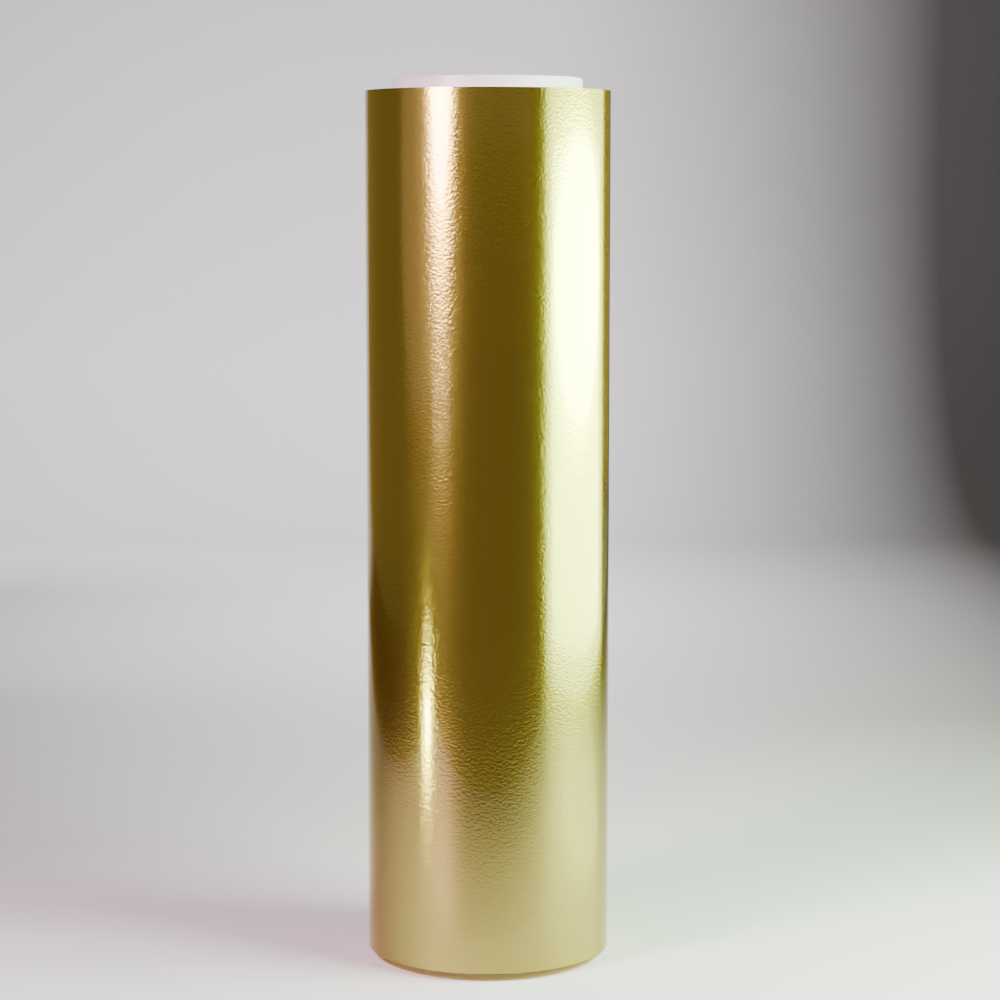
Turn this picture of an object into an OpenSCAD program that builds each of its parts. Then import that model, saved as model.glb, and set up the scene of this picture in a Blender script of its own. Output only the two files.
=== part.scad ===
// Roll of sign vinyl, standing on the lower end of its core.
//
// Z runs up along the roll's axis. The origin is the centre of the core's lower end, on the surface
// that the roll stands on. The web is a strip of face film on a release liner, wound face out round
// the core. Each turn climbs by the web's thickness, so the outer turns are a spiral of two half
// circles with centres a little apart. The tail is the free end of the outer turn. It bends when it
// is lifted, so it is drawn as a chain of narrow strips, each hinged to the one before.

/* [Core tube] */
// Diameter of the bore that takes the spindle
core_bore_d = 76.2; // [70:0.1:80]
// Thickness of the tube's wall
core_wall = 3.5; // [3:0.1:8]
// Bevel round the outer edge of each end
core_bevel = 0.6; // [0.2:0.1:1.5]
// Bevel round the bore's edge at each end
bore_bevel = 0.4; // [0.2:0.1:1.2]
// How far the core sticks out above the web
top_stick_out = 5.5; // [2:0.1:20]
// How far the core sticks out below the web
foot_stick_out = 3.8; // [2:0.1:20]

/* [Web] */
// Width of the web, which is its height when the roll stands
web_w = 381; // [250:1:640]
// Thickness of the face film with its coat of adhesive
film_t = 0.08; // [0.06:0.01:0.15]
// Thickness of the release liner
liner_t = 0.12; // [0.09:0.01:0.2]
// Number of turns on the core
turns = 62; // [20:1:150]

/* [Start tape] */
// Thickness of the double-sided tape under the first turn
start_tape_t = 0.05; // [0.03:0.01:0.07]
// Height of one strip of start tape
start_tape_h = 50; // [20:1:60]
// Length of the start tape round the core, in degrees
start_tape_angle = 30; // [10:1:60]
// Distance from the web's edges to the outer strips of start tape
start_tape_inset = 12; // [5:1:20]

/* [Tail] */
// Direction of the tail's free edge, counted from +X
tail_edge_angle = 120; // [60:1:160]
// Length of one strip of the tail round the roll, in degrees
tail_strip_angle = 15; // [10:1:18]
// Gap between the resting tail and the turn under it
tail_lift_gap = 0.1; // [0.05:0.01:0.2]
// Slit between two strips of the tail
tail_slit = 0.05; // [0.03:0.01:0.1]

/* [Closing tape] */
// Thickness of the tape that holds the tail down
closing_tape_t = 0.05; // [0.03:0.01:0.08]
// Height of the tape
closing_tape_h = 24; // [15:1:50]
// Length of the tape on the tail
closing_tape_on_tail = 11; // [5:0.5:12]
// Length of the tape past the tail's edge
closing_tape_past_edge = 18; // [8:0.5:30]

/* [Hidden] */
$fn = 128;

// Core
core_bore_r = core_bore_d / 2;
core_r = core_bore_r + core_wall;
core_len = foot_stick_out + web_w + top_stick_out;

// Web. A spiral boundary is named by its radius at the tail's edge, where the turn under the
// tail begins: it grows by web_t in one turn.
web_t = film_t + liner_t;
first_turn_r = core_r + web_t;
roll_r = core_r + turns * web_t;
outer_turn_start_r = roll_r - 2 * web_t;
spiral_shift = web_t / 4;

// Tail, in the turn's last part. Its arcs are centred on the spiral's second centre.
tail_strips = 5;
tail_start_angle = 360 - tail_strips * tail_strip_angle;
tail_inner_r = outer_turn_start_r + 3 * spiral_shift + tail_lift_gap;
tail_outer_r = tail_inner_r + web_t;
mm_to_deg = 180 / PI / tail_outer_r;
slit_angle = tail_slit * mm_to_deg;
tail_tip_angle = 360 - slit_angle / 2;

// Start tapes
start_tape_z = [
    foot_stick_out + start_tape_inset,
    foot_stick_out + (web_w - start_tape_h) / 2,
    foot_stick_out + web_w - start_tape_inset - start_tape_h
];

// Gap at the first turn's leading edge, where the second turn climbs over it
first_turn_slit = 0.2;

// Reach of the blocks that cut the rings
far = 2 * roll_r;

white = [0.93, 0.91, 0.92];
gold = [0.74, 0.62, 0.25];
liner_honey = [0.80, 0.68, 0.40];
pack_gold = [0.72, 0.56, 0.24];
tape_clear = [0.90, 0.90, 0.86];

// A plain ring of height h
module ring(r_in, r_out, h) {
    difference() {
        cylinder(r = r_out, h = h);
        translate([0, 0, -1])
            cylinder(r = r_in, h = h + 2);
    }
}

// A block that keeps only the directions from a0 to a1, which are under 180 degrees apart
module sector(a0, a1, h) {
    mid = (a0 + a1) / 2;
    reach = far / cos((a1 - a0) / 2);
    linear_extrude(height = h)
        polygon([
            [0, 0],
            far * [cos(a0), sin(a0)],
            reach * [cos(mid), sin(mid)],
            far * [cos(a1), sin(a1)]
        ]);
}

// The half of space on one side of the line through the tail's edge: side is 1 or -1
module half_block(side, h) {
    translate([-far, side > 0 ? 0 : -far, 0])
        cube([2 * far, far, h]);
}

// Puts its children at the web's height and turns them to the tail's edge
module on_roll() {
    translate([0, 0, foot_stick_out])
        rotate([0, 0, tail_edge_angle])
            children();
}

// The white plastic tube, bevelled at both ends
module core_tube() {
    color(white)
        rotate_extrude()
            polygon([
                [core_bore_r, bore_bevel],
                [core_bore_r + bore_bevel, 0],
                [core_r - core_bevel, 0],
                [core_r, core_bevel],
                [core_r, core_len - core_bevel],
                [core_r - core_bevel, core_len],
                [core_bore_r + bore_bevel, core_len],
                [core_bore_r, core_len - bore_bevel]
            ]);
}

// The space of one strip of start tape, on the core's surface
module start_tape_space(z) {
    translate([0, 0, z])
        rotate([0, 0, tail_edge_angle])
            intersection() {
                ring(core_r, core_r + start_tape_t, start_tape_h);
                sector(0, start_tape_angle, start_tape_h);
            }
}

// One strip of double-sided tape between the core and the first turn
module start_tape(z) {
    color(tape_clear)
        start_tape_space(z);
}

// One ply of the first turn, which lies on the core and has a slit at its leading edge
module first_turn_ply(r_in, r_out) {
    on_roll()
        difference() {
            ring(r_in, r_out, web_w);
            translate([0, -first_turn_slit, -1])
                cube([far, first_turn_slit, web_w + 2]);
        }
}

// Release liner of the first turn, hollowed where the start tape lies
module first_turn_liner() {
    color(liner_honey)
        difference() {
            first_turn_ply(core_r, core_r + liner_t);
            for (z = start_tape_z)
                start_tape_space(z);
        }
}

// Face film of the first turn
module first_turn_film() {
    color(gold)
        first_turn_ply(core_r + liner_t, first_turn_r);
}

// A disc of height web_w whose edge is one turn of the spiral, r_start at the tail's edge
module spiral_disc(r_start) {
    intersection() {
        translate([-spiral_shift, 0, 0])
            cylinder(r = r_start + spiral_shift, h = web_w);
        half_block(1, web_w);
    }
    intersection() {
        translate([spiral_shift, 0, 0])
            cylinder(r = r_start + 3 * spiral_shift, h = web_w);
        half_block(-1, web_w);
    }
}

// All the turns between the first and the outer one, wound tight
module wound_pack() {
    color(pack_gold)
        on_roll()
            difference() {
                spiral_disc(outer_turn_start_r);
                translate([0, 0, -1])
                    cylinder(r = first_turn_r, h = web_w + 2);
            }
}

// One ply of the outer turn, from the tail's edge round to the tail's root. depth is how far its
// inner face lies above the wound pack, and t is its thickness.
module outer_turn_ply(depth, t) {
    r_in = outer_turn_start_r + depth;
    on_roll() {
        intersection() {
            translate([-spiral_shift, 0, 0])
                ring(r_in + spiral_shift, r_in + spiral_shift + t, web_w);
            half_block(1, web_w);
        }
        intersection() {
            translate([spiral_shift, 0, 0])
                ring(r_in + 3 * spiral_shift, r_in + 3 * spiral_shift + t, web_w);
            half_block(-1, web_w);
            translate([spiral_shift, 0, 0])
                sector(180 - 20, tail_start_angle - slit_angle / 2, web_w);
        }
    }
}

// Release liner of the outer turn
module outer_turn_liner() {
    color(liner_honey)
        outer_turn_ply(0, liner_t);
}

// Face film of the outer turn
module outer_turn_film() {
    color(gold)
        outer_turn_ply(liner_t, film_t);
}

// One ply of one strip of the tail. i counts from 0 at the tail's root.
module tail_ply(i, depth, t) {
    a0 = tail_start_angle + i * tail_strip_angle;
    on_roll()
        translate([spiral_shift, 0, 0])
            intersection() {
                ring(tail_inner_r + depth, tail_inner_r + depth + t, web_w);
                sector(a0 + slit_angle / 2, a0 + tail_strip_angle - slit_angle / 2, web_w);
            }
}

// Release liner of one strip of the tail
module tail_liner(i) {
    color(liner_honey)
        tail_ply(i, 0, liner_t);
}

// Face film of one strip of the tail
module tail_film(i) {
    color(gold)
        tail_ply(i, liner_t, film_t);
}

// A stretch of the clear tape over the tail's edge, halfway up the roll. a0 and a1 are the
// directions of its ends.
module closing_tape(a0, a1) {
    color(tape_clear)
        on_roll()
            translate([spiral_shift, 0, (web_w - closing_tape_h) / 2])
                intersection() {
                    ring(tail_outer_r, tail_outer_r + closing_tape_t, closing_tape_h);
                    sector(a0, a1, closing_tape_h);
                }
}

// The end of the closing tape that is stuck to the tail
module closing_tape_anchor() {
    closing_tape(tail_tip_angle - closing_tape_on_tail * mm_to_deg, tail_tip_angle);
}

// The end of the closing tape past the tail's edge, which peels off the turn below
module closing_tape_tab() {
    closing_tape(tail_tip_angle + slit_angle / 2, 360 + closing_tape_past_edge * mm_to_deg);
}

core_tube();
start_tape(start_tape_z[0]);  // start_tape_lower
start_tape(start_tape_z[1]);  // start_tape_middle
start_tape(start_tape_z[2]);  // start_tape_upper
first_turn_liner();
first_turn_film();
wound_pack();
outer_turn_liner();
outer_turn_film();
tail_liner(0);  // tail_liner_1
tail_liner(1);  // tail_liner_2
tail_liner(2);  // tail_liner_3
tail_liner(3);  // tail_liner_4
tail_liner(4);  // tail_liner_5
tail_film(0);  // tail_film_1
tail_film(1);  // tail_film_2
tail_film(2);  // tail_film_3
tail_film(3);  // tail_film_4
tail_film(4);  // tail_film_5
closing_tape_anchor();
closing_tape_tab();
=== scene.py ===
# A roll of glossy gold sign vinyl, standing on the foot of its white plastic core.
# Everything is in metres. The roll's axis is Z, and the origin is the middle of the core's foot.
import math
import random

import bmesh
import bpy
from mathutils import Matrix, Vector, noise


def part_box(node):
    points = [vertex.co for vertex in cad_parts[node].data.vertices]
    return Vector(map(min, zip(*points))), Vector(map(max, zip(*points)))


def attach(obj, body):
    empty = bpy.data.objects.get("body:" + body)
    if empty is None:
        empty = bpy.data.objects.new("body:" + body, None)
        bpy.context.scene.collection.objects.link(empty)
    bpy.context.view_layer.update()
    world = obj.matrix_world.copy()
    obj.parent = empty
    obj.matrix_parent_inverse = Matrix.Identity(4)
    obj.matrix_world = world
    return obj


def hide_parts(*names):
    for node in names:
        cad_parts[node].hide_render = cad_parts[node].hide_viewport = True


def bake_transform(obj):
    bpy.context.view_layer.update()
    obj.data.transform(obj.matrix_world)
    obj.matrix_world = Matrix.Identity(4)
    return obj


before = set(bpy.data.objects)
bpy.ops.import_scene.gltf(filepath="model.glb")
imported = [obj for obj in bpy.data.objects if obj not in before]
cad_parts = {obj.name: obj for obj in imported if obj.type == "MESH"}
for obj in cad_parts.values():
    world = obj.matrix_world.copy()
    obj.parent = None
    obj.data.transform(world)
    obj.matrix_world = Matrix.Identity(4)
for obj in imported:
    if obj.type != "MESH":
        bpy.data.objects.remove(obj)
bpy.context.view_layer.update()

bpy.ops.object.select_all(action="DESELECT")


# ---- Camera --------------------------------------------------------------------------------------
# A long lens a little more than a metre in front, slightly under the roll's top and looking down.
camera_data = bpy.data.cameras.new("camera")
camera_data.lens = 99.6
camera_data.sensor_width = 36
camera = bpy.data.objects.new("camera", camera_data)
bpy.context.scene.collection.objects.link(camera)
camera.location = (0, -1.223, 0.3436)
camera.rotation_euler = (math.radians(90 - 6.48), 0, math.radians(-0.253))
bpy.context.scene.camera = camera


# ---- Studio: sweep, table and walls -----------------------------------------------------------------
# The roll stands near the front edge of a white paper sweep, which runs back and curves up behind
# it. The paper lies on a pale table top that ends a short way in front.
class Socket:
    """A socket in a material's node tree. Python arithmetic on it adds Math nodes."""

    def __init__(self, tree, output=None):
        self.tree = tree
        self.output = output

    def node(self, kind, settings, inputs, output=0):
        """A new node: its settings first, then the values or links of its sockets."""
        made = self.tree.nodes.new("ShaderNode" + kind)
        for name, value in settings.items():
            setattr(made, name, value)
        for name, value in inputs.items():
            self.join(made.inputs[name], value)
        return Socket(self.tree, made.outputs[output])

    def join(self, socket, value):
        if isinstance(value, Socket):
            self.tree.links.new(value.output, socket)
        else:
            socket.default_value = value

    def maths(self, operation, *values):
        return self.node("Math", {"operation": operation}, dict(enumerate(values)))

    def __add__(self, other):
        return self.maths("ADD", self, other)

    def __sub__(self, other):
        return self.maths("SUBTRACT", self, other)

    def __mul__(self, other):
        return self.maths("MULTIPLY", self, other)

    def __truediv__(self, other):
        return self.maths("DIVIDE", self, other)

    def __rsub__(self, other):
        return self.maths("SUBTRACT", other, self)

    __radd__ = __add__
    __rmul__ = __mul__

    def noise(self, place, scale, detail=2.0, roughness=0.5):
        return self.node(
            "TexNoise", {},
            {"Vector": place, "Scale": scale, "Detail": detail, "Roughness": roughness},
        )

    def split(self, place):
        """The X, Y and Z of a place."""
        parts = self.node("SeparateXYZ", {}, {"Vector": place}).output.node.outputs
        return [Socket(self.tree, part) for part in parts]

    def stretch(self, place, x, y, z):
        """The place, with each axis scaled."""
        return self.node("Mapping", {}, {"Vector": place, "Scale": (x, y, z)})

    def ramp(self, value, low, high):
        """0 where the value is low, 1 where it is high, and straight between."""
        return self.node(
            "MapRange", {"clamp": True}, {"Value": value, "From Min": low, "From Max": high}
        )

    def blend(self, factor, one, other):
        """One colour where the factor is 0, the other where it is 1."""
        return self.node(
            "Mix", {"data_type": "RGBA"}, {"Factor": factor, 6: one, 7: other}, output=2
        )

    def bump(self, height, distance):
        return self.node("Bump", {}, {"Height": height, "Distance": distance, "Strength": 1.0})


def new_material(name):
    """A material, its first socket to build on, and its Object coordinates."""
    made = bpy.data.materials.new(name)
    made.use_nodes = True
    start = Socket(made.node_tree)
    return made, start, start.node("TexCoord", {}, {}, output="Object")


def set_surface(made, **sockets):
    """Sets or links the Principled shader's sockets: base_color is Base Color, and so on."""
    shader = made.node_tree.nodes["Principled BSDF"]
    for name, value in sockets.items():
        title = " ".join(word.capitalize() for word in name.split("_"))
        Socket(made.node_tree).join(shader.inputs[title], value)


def give(piece, *materials):
    piece.data.materials.clear()
    for made in materials:
        piece.data.materials.append(made)


def pick(kind, test):
    """In edit mode, selects only the vertices, edges or faces with every corner passing the test."""
    bpy.ops.mesh.select_all(action="DESELECT")
    bpy.ops.mesh.select_mode(type=kind)
    mesh = bmesh.from_edit_mesh(bpy.context.object.data)
    for part in {"VERT": mesh.verts, "EDGE": mesh.edges, "FACE": mesh.faces}[kind]:
        corners = [part] if kind == "VERT" else part.verts
        part.select_set(all(test(corner.co) for corner in corners))
    bmesh.update_edit_mesh(bpy.context.object.data)


def settle(name):
    """Leaves edit mode, puts the active object's place into its mesh, and names it."""
    if bpy.context.object.mode == "EDIT":
        bpy.ops.object.mode_set(mode="OBJECT")
    bpy.ops.object.transform_apply(location=True, rotation=True, scale=True)
    piece = bpy.context.object
    piece.name = name
    piece.data.name = name
    piece.select_set(False)
    return piece


sweep_left, sweep_right = -1.0, 0.60
sweep_front, sweep_back = -0.13, 1.45
sweep_curve = 0.35
sweep_top = 1.7
bpy.ops.mesh.primitive_plane_add(size=1)
bpy.ops.transform.resize(value=(sweep_right - sweep_left, sweep_back - sweep_front, 1))
bpy.ops.transform.translate(
    value=((sweep_left + sweep_right) / 2, (sweep_front + sweep_back) / 2, 0)
)
bpy.ops.object.transform_apply(location=True, rotation=True, scale=True)
bpy.ops.object.mode_set(mode="EDIT")
pick("EDGE", lambda co: co.y > sweep_back - 0.001)
bpy.ops.mesh.spin(
    steps=32, angle=math.radians(90), center=(0, sweep_back, sweep_curve), axis=(-1, 0, 0)
)
bpy.ops.mesh.extrude_region_move(
    TRANSFORM_OT_translate={"value": (0, 0, sweep_top - sweep_curve)}
)
sweep = settle("studio_sweep")
bpy.context.view_layer.objects.active = sweep
bpy.ops.object.shade_smooth()

paper_t = 0.0008
table_front, table_left = -0.43, -0.50
table_wide, table_deep, table_t = 1.9, 2.3, 0.03
bpy.ops.mesh.primitive_cube_add(size=1, location=(0, 0, 0))
bpy.ops.transform.resize(value=(table_wide, table_deep, table_t))
bpy.ops.transform.translate(
    value=(table_wide / 2 + table_left, table_deep / 2 + table_front, -table_t / 2 - paper_t)
)
table = settle("studio_table")

# The paper is pale round the roll. Painted shade greys it up the wall and to the left and makes it
# nearly black to the right, and a painted brown shade lies past its left end.
paper, start, place = new_material("sweep_paper")
mottle = start.noise(place, 3.0, 3.0)
across, far, up = start.split(place)
left = 0 - across
# Masks of painted shade: up the wall, to the right, at the left front and back, and past the left end.
painted_shade_up_wall = start.ramp(far + up, 1.9, 2.6)
painted_shade_right = start.ramp(across, 0.07, 0.49) * start.ramp(far, 0.10, 0.55)
painted_shade_left_front = start.ramp(left, 0.02, 0.32) * start.ramp(far, 0.02, 0.20)
painted_shade_left_back = start.ramp(left, 0.10, 0.40) * start.ramp(far, 0.3, 0.6)
painted_shade_left = painted_shade_left_front * (1 - start.ramp(far, 0.3, 0.7)) + painted_shade_left_back * (1 - start.ramp(far, 1.10, 1.35))
painted_brown_shade_left_end = start.ramp(left, 0.44, 0.50) * (1 - start.ramp(far, 0.9, 1.1))
pale = start.blend(mottle, (0.80, 0.80, 0.80, 1), (0.83, 0.83, 0.83, 1))
pale_with_painted_grey_shade = start.blend(start.maths("MAXIMUM", painted_shade_up_wall, painted_shade_left), pale, (0.46, 0.45, 0.47, 1))
# Painted shade colours: near black to the right, and brown past the left end.
dark = start.blend(painted_brown_shade_left_end, (0.04, 0.04, 0.04, 1), (0.11, 0.065, 0.015, 1))
set_surface(
    paper,
    base_color=start.blend(start.maths("MAXIMUM", painted_shade_right, painted_brown_shade_left_end), pale_with_painted_grey_shade, dark),
    roughness=0.75,
    normal=start.bump(start.noise(place, 900.0, 2.0), 0.00002),
)
give(sweep, paper)

board, start, place = new_material("table_board")
along = start.split(place)[1]
worn = start.blend(start.noise(place, 6.0, 3.0), (0.70, 0.70, 0.70, 1), (0.74, 0.74, 0.74, 1))
# A thin painted shadow lies along the paper's front edge, and the board is darker towards its front.
painted_shadow_at_paper_edge = start.ramp(along, -0.137, -0.134)
set_surface(
    board,
    base_color=start.blend(
        start.ramp(0 - along, 0.14, 0.42),
        start.blend(painted_shadow_at_paper_edge, worn, (0.30, 0.30, 0.30, 1)),
        (0.16, 0.16, 0.16, 1),
    ),
    roughness=0.6,
)
give(table, board)

world = bpy.data.worlds.new("dark_room")
bpy.context.scene.world = world
world.use_nodes = True
world.node_tree.nodes["Background"].inputs["Color"].default_value = (1.0, 0.80, 0.35, 1)
world.node_tree.nodes["Background"].inputs["Strength"].default_value = 0.36
world.cycles_visibility.diffuse = False


# ---- Studio: lights -----------------------------------------------------------------------------------
# A tall soft box stands in front on the left, and a wide one close by on the right. A small bright
# strip stands low on the left. Most show only in reflections, and two light only matt surfaces.
def soft_box(
    name, place, aim, width, height, glow, colour, shape="RECTANGLE", lights="reflections"
):
    """A flat light with an even glow, in watts per square metre and steradian. It lights all
    surfaces, only matt surfaces or only reflections."""
    data = bpy.data.lights.new(name, "AREA")
    data.shape = shape
    data.size = width
    data.size_y = height
    data.color = colour
    area = width * height * (math.pi / 4 if shape == "ELLIPSE" else 1)
    data.energy = glow * math.pi * area
    light = bpy.data.objects.new(name, data)
    bpy.context.scene.collection.objects.link(light)
    light.location = place
    light.rotation_euler = (Vector(aim) - Vector(place)).to_track_quat("-Z", "Y").to_euler()
    light.visible_camera = False
    light.visible_diffuse = lights != "reflections"
    light.visible_glossy = lights != "matt surfaces"


pink = (1.0, 0.72, 0.90)
green = (0.78, 1.0, 0.80)
lime = (0.70, 1.0, 0.50)
soft_box("key_hot", (-1.035, -1.085, 0.55), (0, 0, 0.55), 0.58, 0.45, 95, pink, "ELLIPSE")
soft_box("key_halo", (-1.40, -0.60, 0.35), (0, 0, 0.35), 1.1, 0.46, 0.45, pink, "ELLIPSE")
soft_box("key_skirt", (-1.03, -1.08, 0.16), (0, 0, 0.16), 0.44, 0.12, 1.3, (1.0, 0.85, 1.0))
soft_box("side_wide", (0.63, 0.07, 0.50), (0, 0.07, 0.50), 1.06, 0.98, 8, lime)
soft_box("side_middle", (0.625, 0.04, 0.205), (0, 0.04, 0.205), 0.80, 0.33, 18, lime)
soft_box("side_hot", (0.62, 0.03, 0.285), (0, 0.03, 0.285), 0.74, 0.19, 60, lime, "ELLIPSE")
soft_box("sheen", (0.48, 0.03, 0.001), (0.48, 0.03, 1.0), 0.58, 0.36, 1.4, lime, "ELLIPSE")
soft_box("sheen_middle", (0.49, 0.03, 0.001), (0.49, 0.03, 1.0), 0.52, 0.22, 1.8, lime, "ELLIPSE")
soft_box("front_wall", (0.20, -2.60, 1.40), (0.20, 0, 1.40), 4.0, 2.0, 0.2, (1.0, 0.9, 0.7))
soft_box(
    "low_strip", (-0.455, -0.30, 0.016), (0, 0, 0.016), 0.04, 0.030, 185, (0.94, 1.0, 0.55),
    lights="all surfaces",
)
soft_box(
    "key_high", (-0.60, -0.60, 0.85), (0, 0, 0), 0.26, 0.26, 94, (1.0, 0.68, 0.88),
    lights="all surfaces",
)
soft_box(
    "side_fill", (0.44, -0.20, 0.46), (0.03, -0.06, 0.0), 0.40, 0.32, 34, green,
    lights="matt surfaces",
)
soft_box(
    "wall_wash", (0.0, 0.85, 0.80), (0.0, 1.60, 0.08), 1.3, 0.15, 29, (1.0, 0.97, 1.0),
    lights="matt surfaces",
)


# ---- Core ---------------------------------------------------------------------------------------------
# An extruded white plastic tube, sawn to length and bevelled at both ends. It carries the web and
# takes the machine's spindle in its bore.
core_wall = 0.0035
rim_bevel = 0.0006
bore_bevel = 0.0004
core_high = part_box("core_tube")[1]
core_r = core_high.x
core_top = core_high.z


def away(co):
    """Distance from the roll's axis."""
    return math.hypot(co.x, co.y)


bpy.ops.mesh.primitive_cylinder_add(
    vertices=256, radius=core_r, depth=core_top, location=(0, 0, core_top / 2)
)
bpy.ops.object.transform_apply(location=True, rotation=True, scale=True)
bpy.ops.object.mode_set(mode="EDIT")
pick("FACE", lambda co: co.z > core_top - 1e-5)
bpy.ops.mesh.inset(thickness=core_wall)
pick("FACE", lambda co: co.z < 1e-5)
bpy.ops.mesh.inset(thickness=core_wall)
pick("FACE", lambda co: away(co) < core_r - core_wall / 2)
bpy.ops.mesh.bridge_edge_loops()
for edge_r, offset in ((core_r, rim_bevel), (core_r - core_wall, bore_bevel)):
    for edge_z in (0, core_top):
        pick("EDGE", lambda co: abs(away(co) - edge_r) < 1e-4 and abs(co.z - edge_z) < 1e-5)
        bpy.ops.mesh.bevel(offset=offset, segments=3)
bpy.ops.mesh.select_all(action="SELECT")
bpy.ops.mesh.normals_make_consistent(inside=False)
core = settle("core")
core.select_set(True)
bpy.ops.object.shade_smooth_by_angle(angle=math.radians(25))
core.select_set(False)

plastic, start, place = new_material("core_plastic")
cloud = start.noise(place, 40.0, 3.0)
draw_lines = start.noise(start.stretch(place, 1, 1, 0.01), 1400.0, 2.0)
grain = start.noise(place, 2600.0, 2.0)
set_surface(
    plastic,
    base_color=start.blend(cloud, (0.74, 0.71, 0.72, 1), (0.82, 0.79, 0.80, 1)),
    roughness=0.30 + 0.12 * start.noise(start.stretch(place, 1, 1, 0.05), 500.0, 2.0),
    normal=start.bump(draw_lines * 0.5 + grain * 0.3 + cloud * 0.6, 0.00002),
)
give(core, plastic)
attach(core, "roll")
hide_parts("core_tube")


# ---- Start tapes and first turn -----------------------------------------------------------------------
# Three short strips of double-sided tape stick the first turn to the core. Only the edges of the
# first turn's two plies can be seen, at the ends of the roll.
tape_tissue, start, place = new_material("start_tape_tissue")
set_surface(
    tape_tissue,
    base_color=start.blend(
        start.noise(place, 900.0, 3.0), (0.72, 0.70, 0.62, 1), (0.85, 0.83, 0.76, 1)
    ),
    roughness=0.45,
)
for height in ("lower", "middle", "upper"):
    give(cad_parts["start_tape_" + height], tape_tissue)

gold, start, place = new_material("gold_face_film")
peel = start.noise(start.stretch(place, 0.85, 0.85, 1.05), 860.0, 1.0)
grit = start.noise(place, 2600.0, 1.0)
swell = start.noise(place, 28.0, 2.0)
flake = start.noise(place, 7000.0, 1.0)
patch = start.noise(place, 60.0, 3.0)
set_surface(
    gold,
    base_color=start.blend(
        start.ramp(flake, 0.35, 0.7), (0.27, 0.21, 0.035, 1), (0.31, 0.245, 0.05, 1)
    ),
    metallic=1.0,
    roughness=0.11 + 0.02 * patch + 0.14 * start.ramp(flake, 0.50, 0.68),
    specular_tint=(1.0, 0.82, 0.42, 1),
    coat_weight=0.7,
    coat_roughness=0.05,
    normal=start.bump(
        peel * 0.000065 + grit * 0.000016 + swell * 0.0001 + flake * 0.000004, 1.0
    ),
)

liner_paper, start, place = new_material("release_liner")
fibre = start.noise(place, 1500.0, 4.0, 0.6)
set_surface(
    liner_paper,
    base_color=start.blend(
        start.noise(place, 120.0, 3.0), (0.84, 0.60, 0.14, 1), (0.90, 0.66, 0.18, 1)
    ),
    roughness=0.38 + 0.15 * fibre,
    normal=start.bump(fibre, 0.00001),
)
give(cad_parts["first_turn_liner"], liner_paper)
give(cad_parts["first_turn_film"], gold)
give(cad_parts["outer_turn_liner"], liner_paper)


# ---- Wound pack ----------------------------------------------------------------------------------------
# All the turns between the first and the outer one, wound tight. The web wanders a little from
# side to side while it is wound, so the turns' edges step up and down at both ends of the roll.
film_t = 0.00008
liner_t = 0.00012
web_t = film_t + liner_t
spiral_shift = web_t / 4
tail_edge_angle = math.radians(120)
pack_low, pack_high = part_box("wound_pack")
web_low, web_high = pack_low.z, pack_high.z
first_turn_r = core_r + web_t
bands = 60
pack_r = first_turn_r + (bands - 0.5) * web_t


def climb(angle):
    """How far the spiral is outside its middle radius, that angle on from the tail's edge."""
    side = -1 if angle < math.pi else 1
    return side * spiral_shift * (1 + math.cos(angle))


def from_edge(co):
    """Angle of a point round the roll, counted on from the tail's edge."""
    return (math.atan2(co.y, co.x) - tail_edge_angle) % math.tau


def upright(points, angle):
    """Draws a chain of edges by extruding one vertex, through (distance from the axis, height)
    points in the direction of that angle. Stays in edit mode with everything selected."""
    across, along = math.cos(angle), math.sin(angle)
    r, z = points[0]
    bpy.ops.mesh.primitive_plane_add(size=0.01, location=(r * across, r * along, z))
    bpy.ops.object.transform_apply(location=True, rotation=True, scale=True)
    bpy.ops.object.mode_set(mode="EDIT")
    bpy.ops.mesh.select_mode(type="VERT")
    bpy.ops.mesh.select_all(action="SELECT")
    bpy.ops.mesh.merge(type="CENTER")
    for next_r, next_z in points[1:]:
        out = next_r - r
        bpy.ops.mesh.extrude_region_move(
            TRANSFORM_OT_translate={"value": (out * across, out * along, next_z - z)}
        )
        r, z = next_r, next_z
    bpy.ops.mesh.select_all(action="SELECT")


usual_step = 0.00002
sideways_slip = 0.00009
slip_chance = 0.15
pull_back = 0.93
dice = random.Random(11)
turn_edges = [first_turn_r] + [first_turn_r + (turn + 0.5) * web_t for turn in range(bands)]
wander = [0.0]
while len(wander) < bands:
    step = dice.gauss(0, usual_step)
    if dice.random() < slip_chance:
        step += dice.choice((-1, 1)) * sideways_slip
    wander.append(wander[-1] * pull_back + step)
wander.reverse()
section = []
for turn in reversed(range(bands)):
    section.append((turn_edges[turn + 1], web_high + wander[turn]))
    section.append((turn_edges[turn], web_high + wander[turn]))
for turn in range(bands):
    section.append((turn_edges[turn], web_low + wander[turn]))
    section.append((turn_edges[turn + 1], web_low + wander[turn]))
section.append(section[0])
upright(section, tail_edge_angle)
bpy.ops.mesh.remove_doubles(threshold=1e-7)
section_gap = math.radians(0.05)
bpy.ops.mesh.spin(
    steps=240, angle=math.tau - section_gap, center=(0, 0, 0), axis=(0, 0, -1)
)


def on_cut(co):
    """True for the two open ends of the spun section."""
    turned = (math.atan2(co.y, co.x) - tail_edge_angle + math.pi) % math.tau - math.pi
    return -1.2 * section_gap < turned < 0.2 * section_gap


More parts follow.
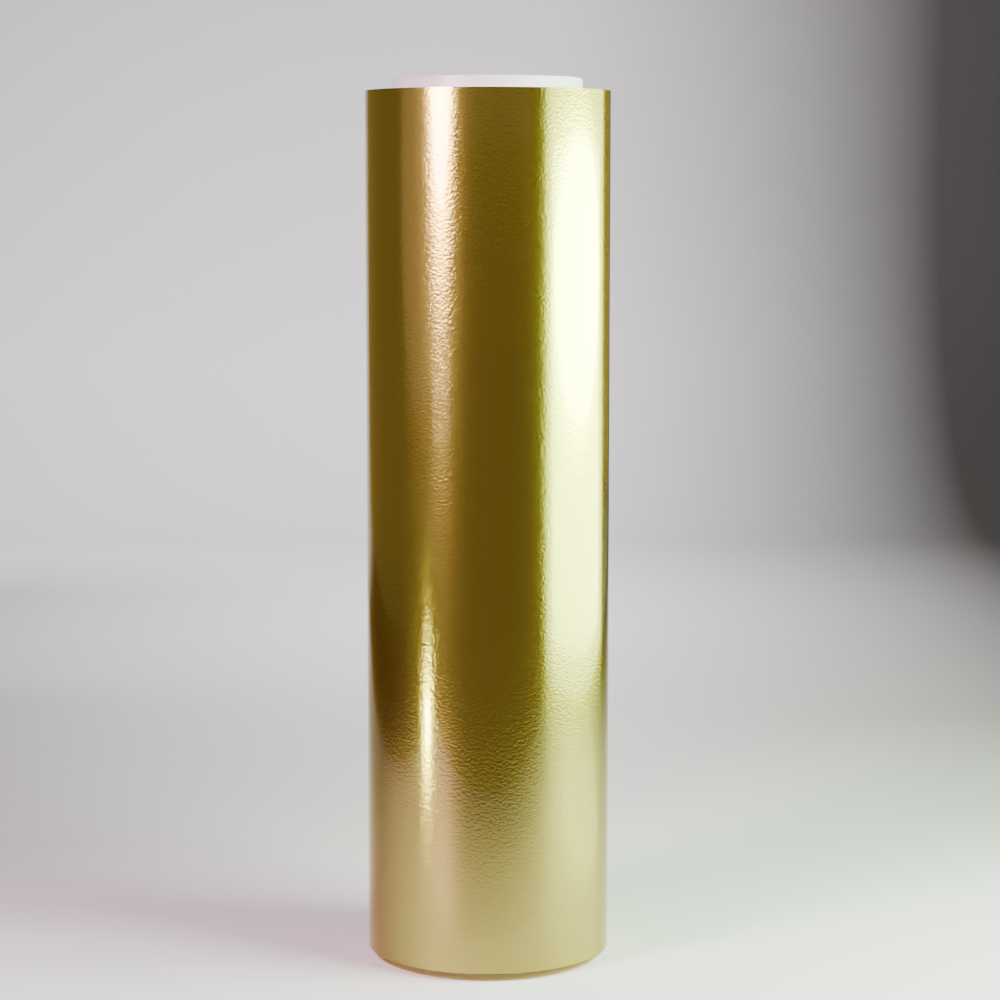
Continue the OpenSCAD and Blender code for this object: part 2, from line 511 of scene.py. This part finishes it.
pick("EDGE", on_cut)
bpy.ops.mesh.bridge_edge_loops()
pack = settle("wound_pack_turns")
lean = 0.00003
tilt = [(dice.gauss(0, lean), dice.gauss(0, lean)) for _ in range(8)]
for vertex in pack.data.vertices:
    co = vertex.co
    angle = (from_edge(co) + 1e-6) % math.tau - 1e-6
    depth = (away(co) - first_turn_r) / (pack_r - first_turn_r)
    level = depth * (len(tilt) - 1.001)
    low_tilt, high_tilt = tilt[int(level)], tilt[int(level) + 1]
    share = level - int(level)
    share = share * share * (3 - 2 * share)
    co.z += (1 - depth) * (
        (low_tilt[0] * (1 - share) + high_tilt[0] * share) * math.cos(angle)
        + (low_tilt[1] * (1 - share) + high_tilt[1] * share) * math.sin(angle)
    )
    grown = 1 + climb(angle) * depth / away(co)
    co.x *= grown
    co.y *= grown
bpy.context.view_layer.objects.active = pack
bpy.ops.object.mode_set(mode="EDIT")
bpy.ops.mesh.select_all(action="SELECT")
bpy.ops.mesh.normals_make_consistent(inside=False)
bpy.ops.object.mode_set(mode="OBJECT")
pack.select_set(True)
bpy.ops.object.shade_smooth_by_angle(angle=math.radians(25))
pack.select_set(False)

edges, start, place = new_material("web_edges")
x, y = start.split(place)[:2]
r = start.maths("SQRT", x * x + y * y)
lap = start.maths("ARCTAN2", y, x) / math.tau
turn = start.maths("FRACT", (r - first_turn_r) / web_t - lap)
film_edge = start.ramp(turn, 0.56, 0.62) * (1 - start.ramp(turn, 0.94, 1.0))
line = start.node("CombineXYZ", {}, {"X": r})
batch = start.ramp(start.noise(line, 1500.0, 3.0, 0.6), 0.35, 0.65)
smear = start.noise(place, 260.0, 3.0)
pale = start.blend(batch, (0.90, 0.62, 0.10, 1), (0.95, 0.70, 0.16, 1))
rich = start.blend(smear, (0.78, 0.52, 0.06, 1), (0.86, 0.60, 0.08, 1))
set_surface(
    edges,
    base_color=start.blend(film_edge * 0.85, pale, rich),
    roughness=0.42 + 0.18 * smear,
    normal=start.bump(film_edge * 0.5 + smear * 0.4, 0.00002),
)
give(pack, edges, gold)
for face in pack.data.polygons:
    outside = away(face.center) > pack_r - 0.0003
    face.material_index = 1 if outside and abs(face.normal.z) < 0.5 else 0
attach(pack, "roll")
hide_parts("wound_pack")


# ---- Outer turn ----------------------------------------------------------------------------------------
# The last full turn: glossy gold film on its release liner. It starts where the tail's edge lies
# and runs round to the tail's root, in two half circles with centres a little apart.
axis_out = Vector((math.cos(tail_edge_angle), math.sin(tail_edge_angle), 0))
first_centre = -spiral_shift * axis_out
second_centre = spiral_shift * axis_out
film_r = pack_r + spiral_shift + web_t
tail_gap = 0.0001
sheet_rows = 60
column = math.radians(0.75)
strip = math.radians(15)
tail_strips = 5
tail_root = math.tau - tail_strips * strip
swell_t = 0.00002
swells_per_m = 22.0
slack_angle = math.radians(12)


def lie(co):
    """The film's slight swell, and the slack with which the tail lies on the turn below."""
    angle = from_edge(co)
    slack = 0.0
    if angle > tail_root:
        slack = min(1.0, (angle - tail_root) / slack_angle)
        slack = tail_gap * slack * slack * (3 - 2 * slack)
    swell = noise.noise(co * swells_per_m) * swell_t * math.sin(angle / 2)
    return (slack + swell) / away(co)


def sheet(name, r, start_angle, end_angle, centre):
    """Part of a turn, wound on from the tail's edge: its outside has radius r about the centre."""
    rise = (web_high - web_low) / sheet_rows
    points = [(r, web_low + row * rise) for row in range(sheet_rows + 1)]
    upright(points, tail_edge_angle + start_angle)
    bpy.ops.transform.translate(value=centre)
    if start_angle == 0:
        bpy.ops.mesh.spin(
            steps=round(math.pi / column), angle=math.pi, center=first_centre, axis=(0, 0, -1)
        )
        start_angle = math.pi
    bpy.ops.mesh.spin(
        steps=max(2, round((end_angle - start_angle) / column)),
        angle=end_angle - start_angle, center=second_centre, axis=(0, 0, -1),
    )
    piece = settle(name)
    for vertex in piece.data.vertices:
        grown = 1 + lie(vertex.co)
        vertex.co.x *= grown
        vertex.co.y *= grown
    face = piece.data.polygons[0]
    if face.normal.dot(Vector((face.center.x, face.center.y, 0))) < 0:
        piece.data.flip_normals()
    return piece


def thicken(piece, thickness):
    """Gives a sheet its thickness, inwards from its outside."""
    bpy.context.view_layer.objects.active = piece
    wall = piece.modifiers.new("thickness", "SOLIDIFY")
    wall.thickness = thickness
    wall.offset = -1
    wall.use_even_offset = True
    bpy.ops.object.modifier_apply(modifier=wall.name)
    piece.select_set(True)
    bpy.ops.object.shade_smooth_by_angle(angle=math.radians(30))
    piece.select_set(False)


outer_film = sheet(
    "outer_turn_face_film", film_r - 2 * spiral_shift, 0, tail_root, first_centre
)
thicken(outer_film, film_t)
give(outer_film, gold)
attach(outer_film, "roll")
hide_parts("outer_turn_film")


# ---- Tail ----------------------------------------------------------------------------------------------
# The last stretch of the outer turn, in lengths of film and liner laid with a little slack on the
# turn below. The last length of each ply is attached to the tail_5 body, the others are fixed in
# place, and the free edge is cut straight.
edge_gap = math.radians(0.03)


for ply, depth, thickness, finish, slot in (
    ("liner", film_t, liner_t, liner_paper, "release_liner"),
    ("film", 0.0, film_t, gold, "face_film"),
):
    for part in range(tail_strips + 1):
        start_angle = tail_root + max(0, part - 0.5) * strip
        end_angle = min(tail_root + (part + 0.5) * strip, math.tau - edge_gap)
        length = sheet(
            f"tail_{ply}_length_{part + 1}", film_r - depth, start_angle, end_angle, second_centre
        )
        thicken(length, thickness)
        give(length, finish)
        if part == 0:
            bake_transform(length)
        elif part == tail_strips:
            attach(length, "tail_5")
        else:
            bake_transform(length)
        strips = sorted({max(1, part), min(tail_strips, part + 1)})
        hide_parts(*[f"tail_{ply}_{number}" for number in strips])


# ---- Closing tape --------------------------------------------------------------------------------------
# A short piece of clear tape over the tail's edge, torn off with a toothed cutter. Half of it is
# stuck to the tail, and the other half drops onto the turn below.
tape_t = 0.00005
tape_low, tape_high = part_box("closing_tape_anchor")[0].z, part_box("closing_tape_anchor")[1].z
tooth = 0.0005
tape_rows = 32
tape_column = math.radians(0.35)
on_tail, past_edge = 0.011, 0.018
tape_r = film_r + tail_gap
tape_start = math.tau - on_tail / tape_r
tape_end = math.tau + past_edge / tape_r


def patch_of_tape(name, start_angle, end_angle, toothed_angle):
    """Part of the tape, with teeth at one end. Past the tail's edge it drops to the turn below."""
    rise = (tape_high - tape_low) / tape_rows
    points = [(tape_r + tape_t, tape_low + row * rise) for row in range(tape_rows + 1)]
    upright(points, tail_edge_angle + start_angle)
    bpy.ops.transform.translate(value=second_centre)
    bpy.ops.mesh.spin(
        steps=round((end_angle - start_angle) / tape_column),
        angle=end_angle - start_angle, center=second_centre, axis=(0, 0, -1),
    )
    piece = settle(name)
    for vertex in piece.data.vertices:
        co = vertex.co
        angle = math.atan2(co.y - second_centre.y, co.x - second_centre.x) - tail_edge_angle
        angle = (angle + math.pi) % math.tau - math.pi + math.tau
        row = round((co.z - tape_low) / rise)
        if abs(angle - toothed_angle) < math.radians(0.1) and row % 2:
            inward = tooth / tape_r * (1 if toothed_angle == tape_start else -1)
            turn = Vector((co.x, co.y, 0)) - second_centre
            turn.rotate(Matrix.Rotation(inward, 3, "Z"))
            co.x, co.y = (second_centre + turn).xy
        past = angle - math.tau
        if past > 0:
            drop = min(1.0, past / math.radians(2.0))
            drop = drop * drop * (3 - 2 * drop)
            below = film_r - 2 * spiral_shift + tape_t + 0.00001
            goal = below - spiral_shift * math.cos(past)
            grown = 1 + drop * (goal - away(co)) / away(co)
            co.x *= grown
            co.y *= grown
    face = piece.data.polygons[0]
    if face.normal.dot(Vector((face.center.x, face.center.y, 0))) < 0:
        piece.data.flip_normals()
    thicken(piece, tape_t)
    return piece


tape_clear, start, place = new_material("closing_tape_clear")
haze = start.noise(place, 300.0, 3.0)
set_surface(
    tape_clear,
    base_color=(0.92, 0.90, 0.82, 1),
    roughness=0.08 + 0.06 * haze,
    alpha=0.07 + 0.04 * start.ramp(haze, 0.35, 0.7),
    normal=start.bump(haze, 0.00001),
)
anchor = patch_of_tape("closing_tape_stuck_end", tape_start, math.tau, tape_start)
give(anchor, tape_clear)
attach(anchor, "tail_5")
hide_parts("closing_tape_anchor")
tab = patch_of_tape("closing_tape_free_end", math.tau, tape_end, tape_end)
give(tab, tape_clear)
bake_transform(tab)
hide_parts("closing_tape_tab")
